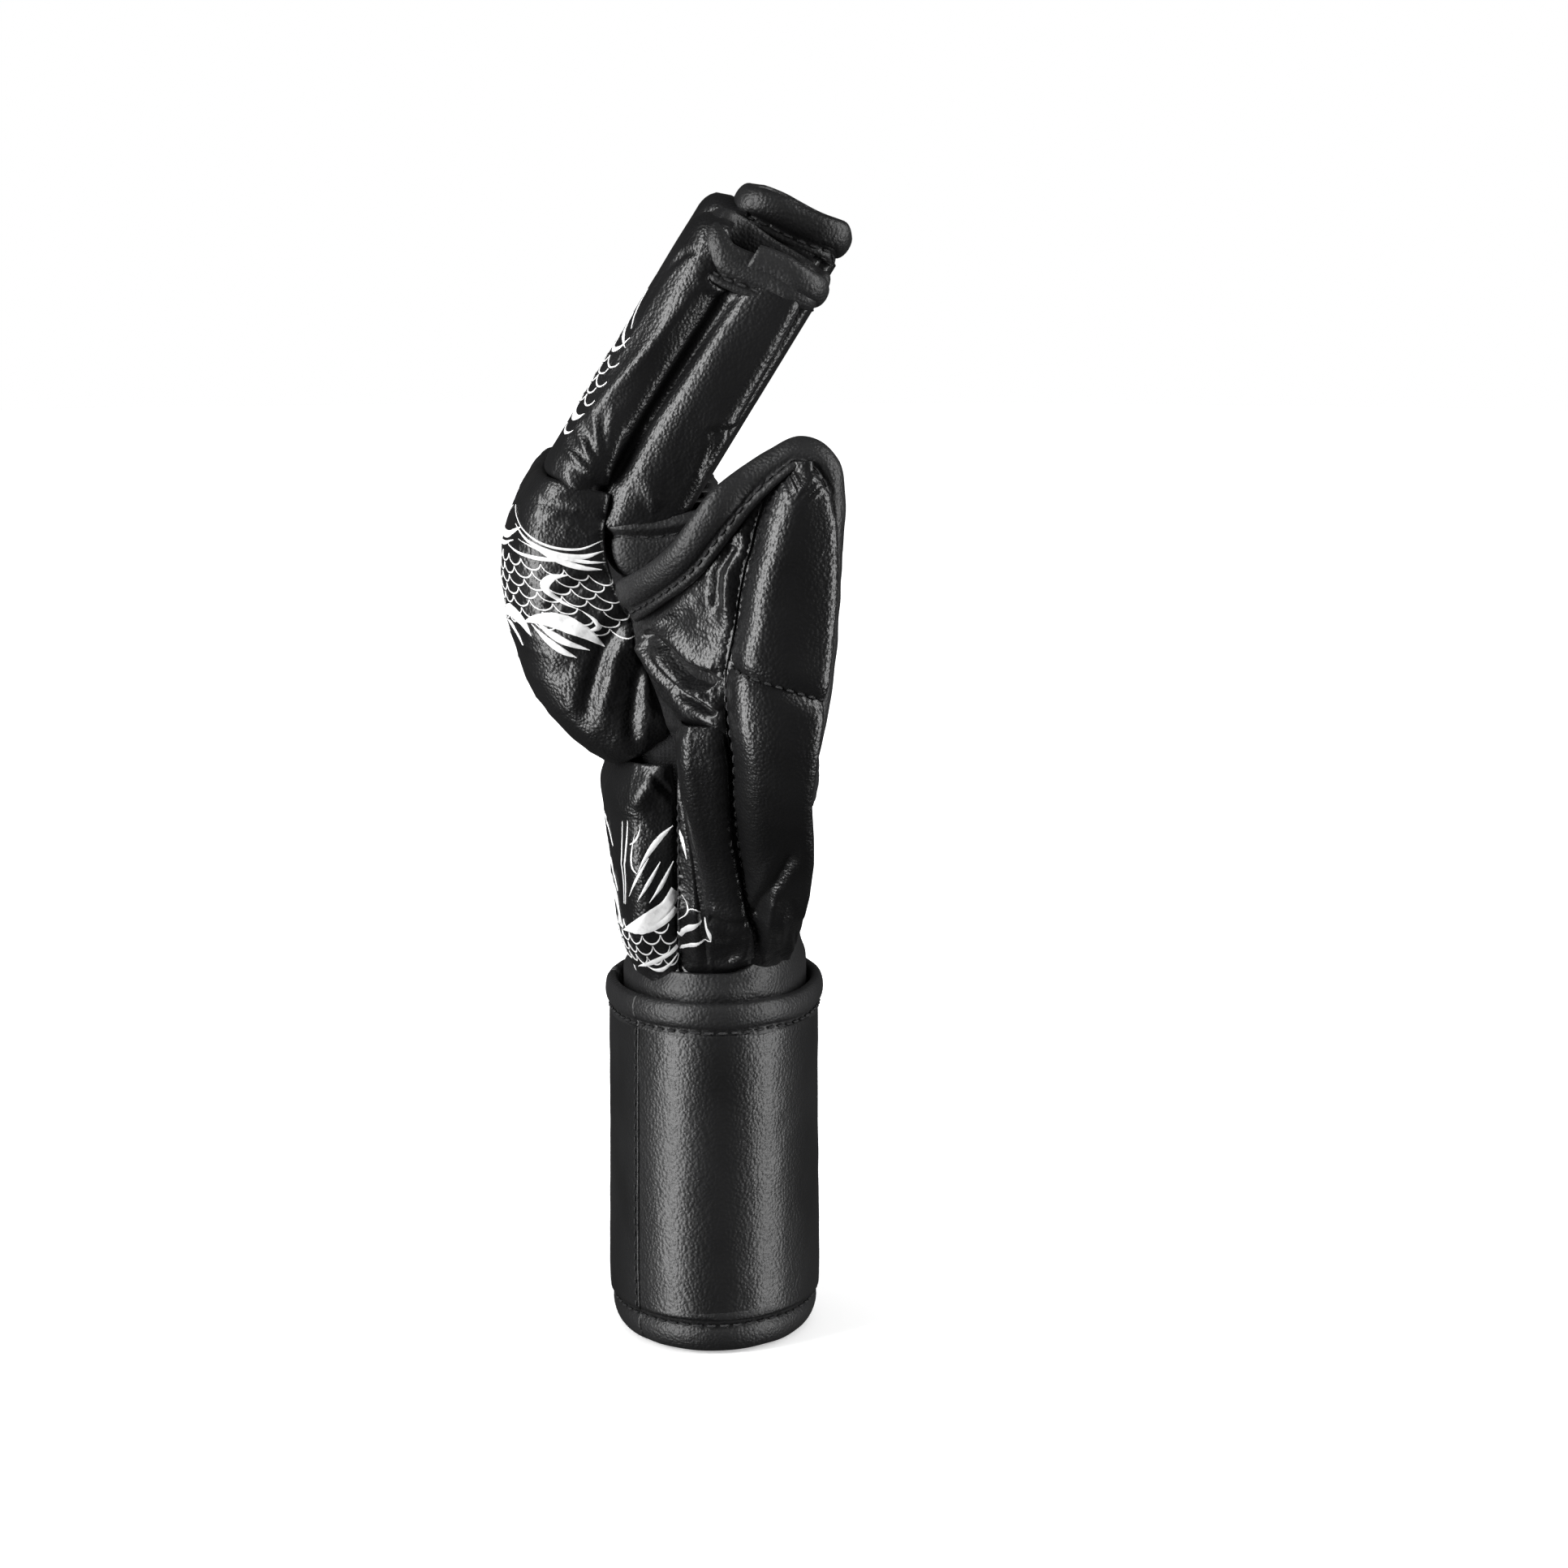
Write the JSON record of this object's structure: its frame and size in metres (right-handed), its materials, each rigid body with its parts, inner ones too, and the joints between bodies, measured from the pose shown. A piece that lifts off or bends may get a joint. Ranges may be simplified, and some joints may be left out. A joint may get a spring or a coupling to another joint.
{
  "type": "mma glove",
  "caption": "Padded hybrid martial-arts glove for a left hand, with open-tipped finger sleeves, a thumb shield and a wide wrist strap.",
  "frame": {"origin": "middle of the wrist opening, in the plane of the cuff's lower edge", "axes": "+Z from the wrist to the fingers, +X towards the palm, -Y towards the thumb"},
  "size_m": [0.0874, 0.1274, 0.2888],
  "materials": {
    "leather": "glossy fine-grained black leather",
    "binding": "satin rolled binding",
    "foam": "closed-cell foam",
    "lining_fabric": "brushed lining",
    "hook_loop_tape": "hook-and-loop tape"
  },
  "bodies": {
    "hand": {"back_lining": "lining_fabric", "knuckle_foam": "foam", "knuckle_cover": "leather", "wrist_foam": "foam", "wrist_cover": "leather", "radial_gusset": "leather", "ulnar_gusset": "leather", "palm_panel": "leather", "palm_binding": "binding", "thenar_foam": "foam", "thenar_cover": "leather", "thenar_binding": "binding", "wrist_sleeve": "lining_fabric", "sleeve_collar": "binding", "anchor_panel": "leather", "anchor_top_binding": "binding", "anchor_bottom_binding": "binding", "loop_tape": "hook_loop_tape"},
    "strap": {"strap_panel": "leather", "strap_lining": "lining_fabric", "strap_top_binding": "binding", "strap_bottom_binding": "binding"},
    "strap_tail": {"tail_panel": "leather", "tail_top_binding": "binding", "tail_bottom_binding": "binding", "hook_tape": "hook_loop_tape"},
    "thumb": {"thumb_cover": "leather", "thumb_foam": "foam", "thumb_lining": "lining_fabric", "thumb_loop": "lining_fabric", "thumb_binding": "binding"},
    "index": {"index_cover": "leather", "index_foam": "foam", "index_sleeve": "leather", "index_tip_binding": "binding", "index_base_binding": "binding"},
    "middle": {"middle_cover": "leather", "middle_foam": "foam", "middle_sleeve": "leather", "middle_tip_binding": "binding", "middle_base_binding": "binding"},
    "ring": {"ring_cover": "leather", "ring_foam": "foam", "ring_sleeve": "leather", "ring_tip_binding": "binding", "ring_base_binding": "binding"},
    "little": {"little_cover": "leather", "little_foam": "foam", "little_sleeve": "leather", "little_tip_binding": "binding", "little_base_binding": "binding"}
  },
  "joints": [
    {"name": "strap_open", "type": "hinge", "parent": "hand", "child": "strap", "pos_m": [0.02642, -0.0029, 0.045], "axis": [0, 0, 1], "range_deg": [0, 95]},
    {"name": "strap_tail_peel", "type": "hinge", "parent": "strap", "child": "strap_tail", "pos_m": [-0.01874, -0.02616, 0.045], "axis": [0, 0, 1], "range_deg": [0, 60]},
    {"name": "thumb_spread", "type": "hinge", "parent": "hand", "child": "thumb", "pos_m": [0.006, -0.0745, 0.174], "axis": [1, 0, 0], "range_deg": [0, 22], "stiffness_Nm_per_rad": 0.6},
    {"name": "index_curl", "type": "hinge", "parent": "hand", "child": "index", "pos_m": [-0.016, -0.0357, 0.206], "axis": [0, 1, 0], "range_deg": [-6, 40], "stiffness_Nm_per_rad": 0.8},
    {"name": "middle_curl", "type": "hinge", "parent": "hand", "child": "middle", "pos_m": [-0.016, -0.0119, 0.206], "axis": [0, 1, 0], "range_deg": [-6, 40], "stiffness_Nm_per_rad": 0.8},
    {"name": "ring_curl", "type": "hinge", "parent": "hand", "child": "ring", "pos_m": [-0.016, 0.0119, 0.206], "axis": [0, 1, 0], "range_deg": [-6, 40], "stiffness_Nm_per_rad": 0.8},
    {"name": "little_curl", "type": "hinge", "parent": "hand", "child": "little", "pos_m": [-0.016, 0.0357, 0.206], "axis": [0, 1, 0], "range_deg": [-6, 40], "stiffness_Nm_per_rad": 0.8}
  ]
}
